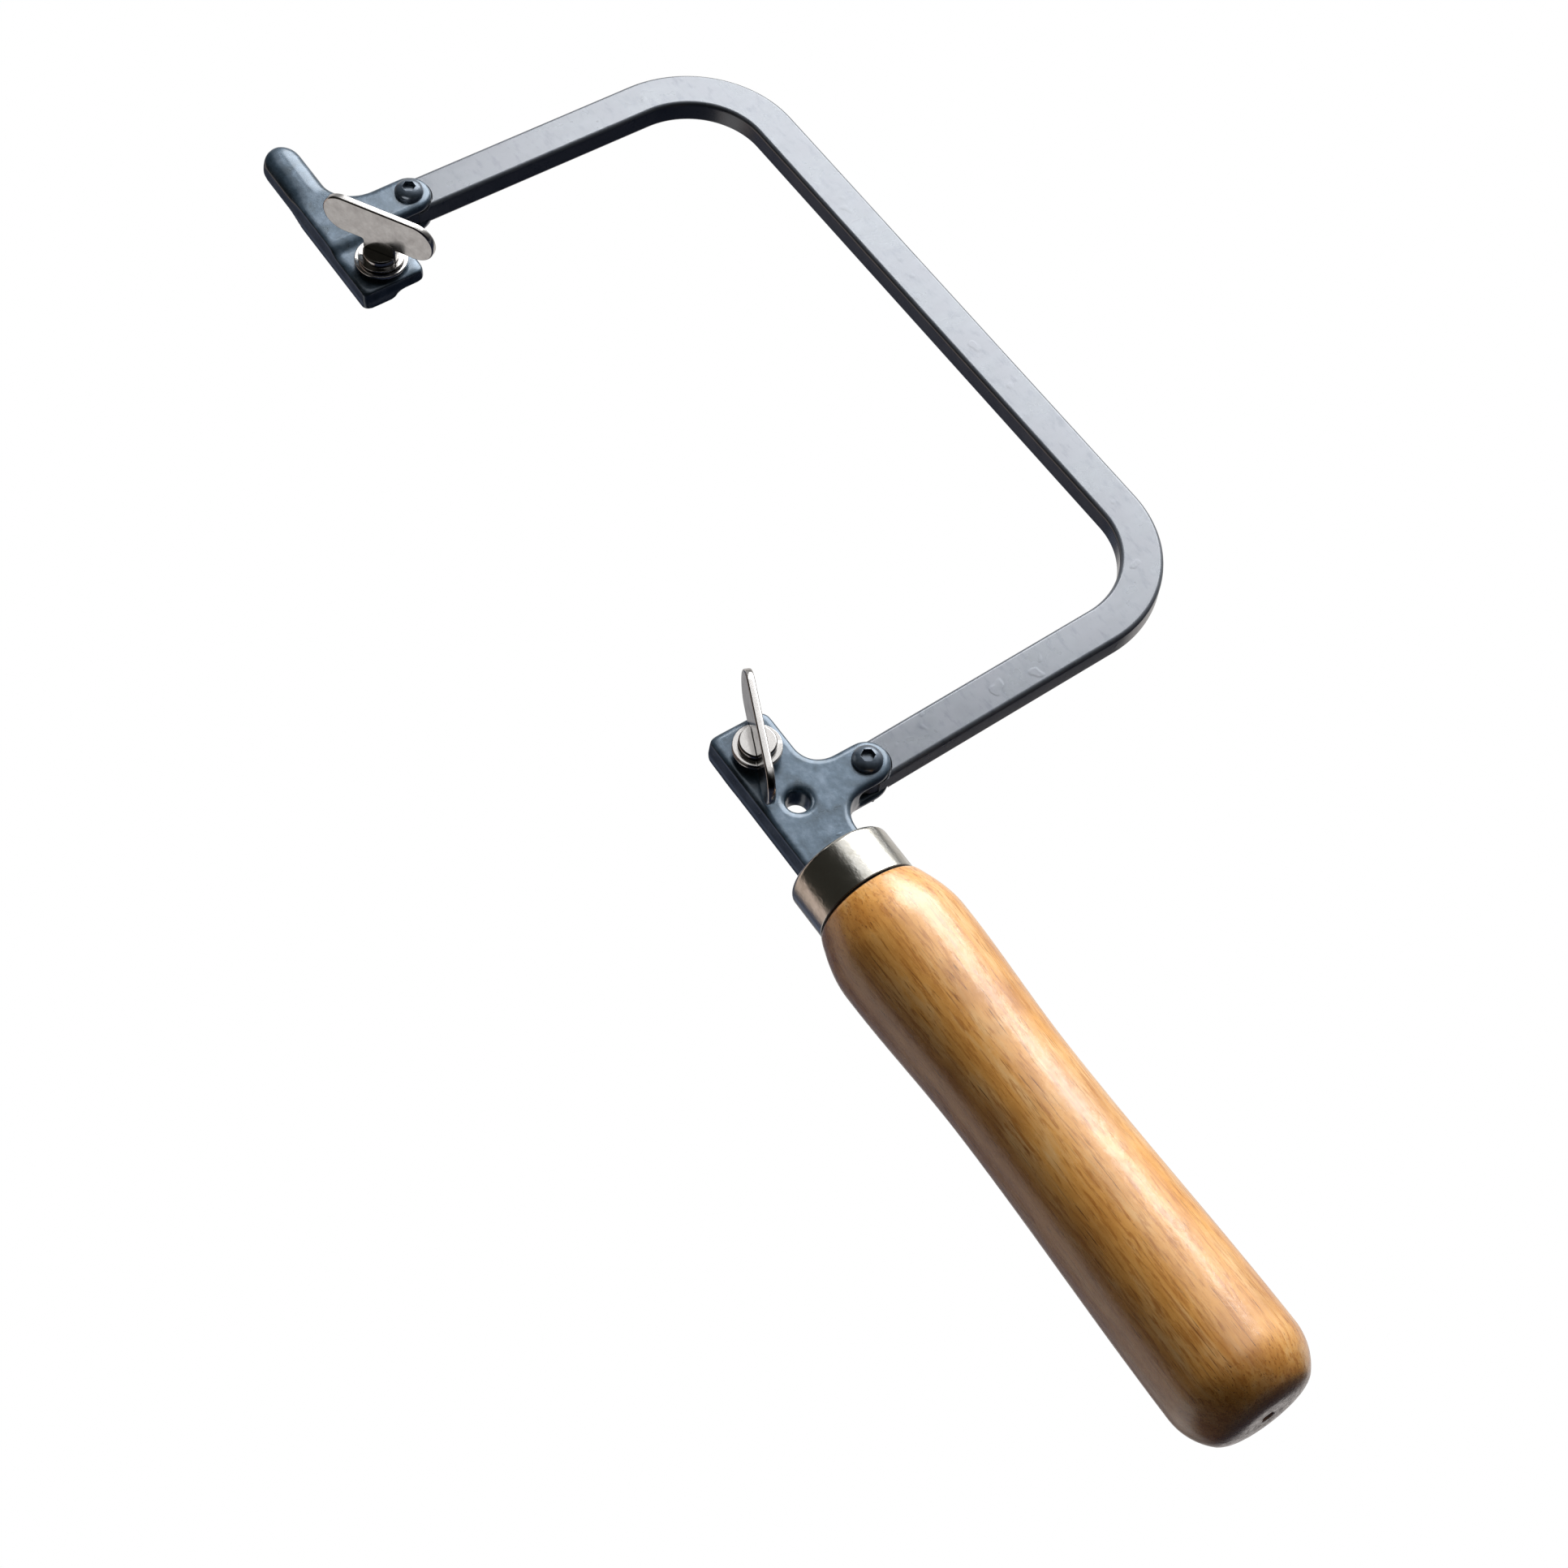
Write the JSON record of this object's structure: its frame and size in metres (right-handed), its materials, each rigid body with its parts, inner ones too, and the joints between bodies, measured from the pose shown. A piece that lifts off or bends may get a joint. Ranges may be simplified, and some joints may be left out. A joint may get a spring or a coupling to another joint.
{
  "type": "fret saw",
  "caption": "Hand fret saw: flat-bar bow pivoted on two small cast blade clamps, wing screws that grip a pinless blade, and a turned wooden handle in a ferrule.",
  "frame": {"origin": "centre of the hang hole in the heel casting, on the bow's mid plane", "axes": "+X along the handle to its butt, +Y to the bow's spine, +Z the way the screw heads face"},
  "size_m": [0.2915, 0.0984, 0.0282],
  "materials": {
    "bow_paint": "gloss blue-black enamel over steel bar",
    "casting_paint": "gloss blue-grey enamel over zinc casting",
    "pivot_paint": "enamel over steel",
    "nickel": "bright nickel plate",
    "ferrule_nickel": "bright nickel plate over drawn tube",
    "beech": "clear gloss lacquer"
  },
  "bodies": {
    "handle_group": {"heel_jaw": "casting_paint", "ferrule": "ferrule_nickel", "handle": "beech", "heel_pivot_screw": "pivot_paint", "heel_pivot_nut": "pivot_paint"},
    "bow": {"bow": "bow_paint"},
    "toe_jaw": {"toe_jaw": "casting_paint", "toe_pivot_screw": "pivot_paint", "toe_pivot_nut": "pivot_paint"},
    "toe_washer": {"toe_clamp_washer": "nickel"},
    "toe_screw": {"toe_thumb_screw": "nickel", "toe_wing": "nickel"},
    "heel_washer": {"heel_clamp_washer": "nickel"},
    "heel_screw": {"heel_thumb_screw": "nickel", "heel_wing": "nickel"}
  },
  "joints": [
    {"name": "heel_pivot", "type": "hinge", "parent": "handle_group", "child": "bow", "pos_m": [-0.0003, 0.014, 0], "axis": [0, 0, 1], "range_deg": [-30, 30]},
    {"name": "toe_pivot", "type": "hinge", "parent": "bow", "child": "toe_jaw", "pos_m": [-0.1457, 0.0133, 0], "axis": [0, 0, 1], "range_deg": [-30, 30]},
    {"name": "toe_clamp_lift", "type": "slide", "parent": "toe_jaw", "child": "toe_washer", "axis": [0, 0, 1], "range_m": [-0.0011, 0.0011]},
    {"name": "toe_clamp_turn", "type": "hinge", "parent": "toe_washer", "child": "toe_screw", "pos_m": [-0.1343, 0.0008, 0], "axis": [0, 0, 1], "range_deg": [-540, 540]},
    {"name": "heel_clamp_lift", "type": "slide", "parent": "handle_group", "child": "heel_washer", "axis": [0, 0, 1], "range_m": [-0.0011, 0.00075]},
    {"name": "heel_clamp_turn", "type": "hinge", "parent": "heel_washer", "child": "heel_screw", "pos_m": [-0.0109, -0.0008, 0], "axis": [0, 0, 1], "range_deg": [-540, 360]}
  ],
  "couplings": [
    {"joint": "toe_clamp_lift", "follows": "toe_clamp_turn", "m_per_rad": 0.00011141},
    {"joint": "heel_clamp_lift", "follows": "heel_clamp_turn", "m_per_rad": 0.00011141}
  ]
}
